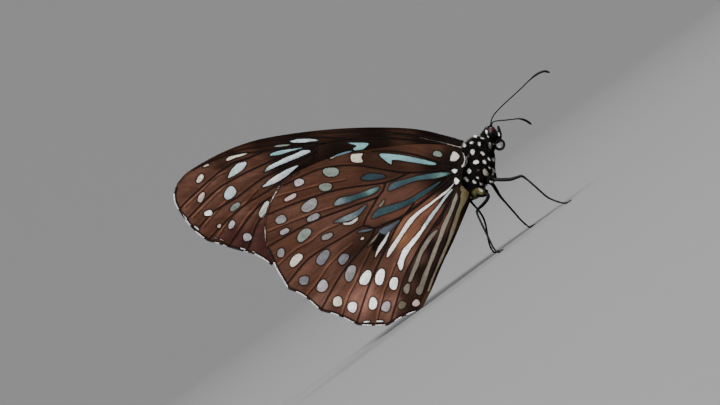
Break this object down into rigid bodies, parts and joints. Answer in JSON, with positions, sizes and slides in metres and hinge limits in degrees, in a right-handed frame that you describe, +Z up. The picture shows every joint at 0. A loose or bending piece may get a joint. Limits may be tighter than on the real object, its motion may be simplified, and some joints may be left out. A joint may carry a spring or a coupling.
{
  "type": "dark blue tiger butterfly",
  "caption": "Life-size still model of a dark blue tiger butterfly standing with closed wings, veined and spotted, club-tipped feelers forward and tongue rolled.",
  "frame": {"origin": "on the floor, below the middle of the bounding box", "axes": "+Z up, +X towards the head, +Y to the animal's left"},
  "size_m": [0.0622, 0.0186, 0.0404],
  "materials": {
    "body_scales": "velvety black scales with white dots",
    "belly": "matte olive scales",
    "eye": "faceted gloss",
    "horn": "satin",
    "forewing": "powdery scales, brown with pale spots",
    "hindwing": "powdery scales, brown with pale streaks and spots"
  },
  "bodies": {
    "root": {"head": "body_scales", "thorax": "body_scales", "abdomen": "belly", "eye_r": "eye", "eye_l": "eye", "antenna_r": "horn", "antenna_l": "horn", "palp_r": "body_scales", "palp_l": "body_scales", "proboscis": "horn", "forewing_r": "forewing", "forewing_l": "forewing", "hindwing_r": "hindwing", "hindwing_l": "hindwing", "foreleg_r": "horn", "foreleg_l": "horn", "midleg_r": "horn", "midleg_l": "horn", "hindleg_r": "horn", "hindleg_l": "horn"}
  },
  "joints": []
}
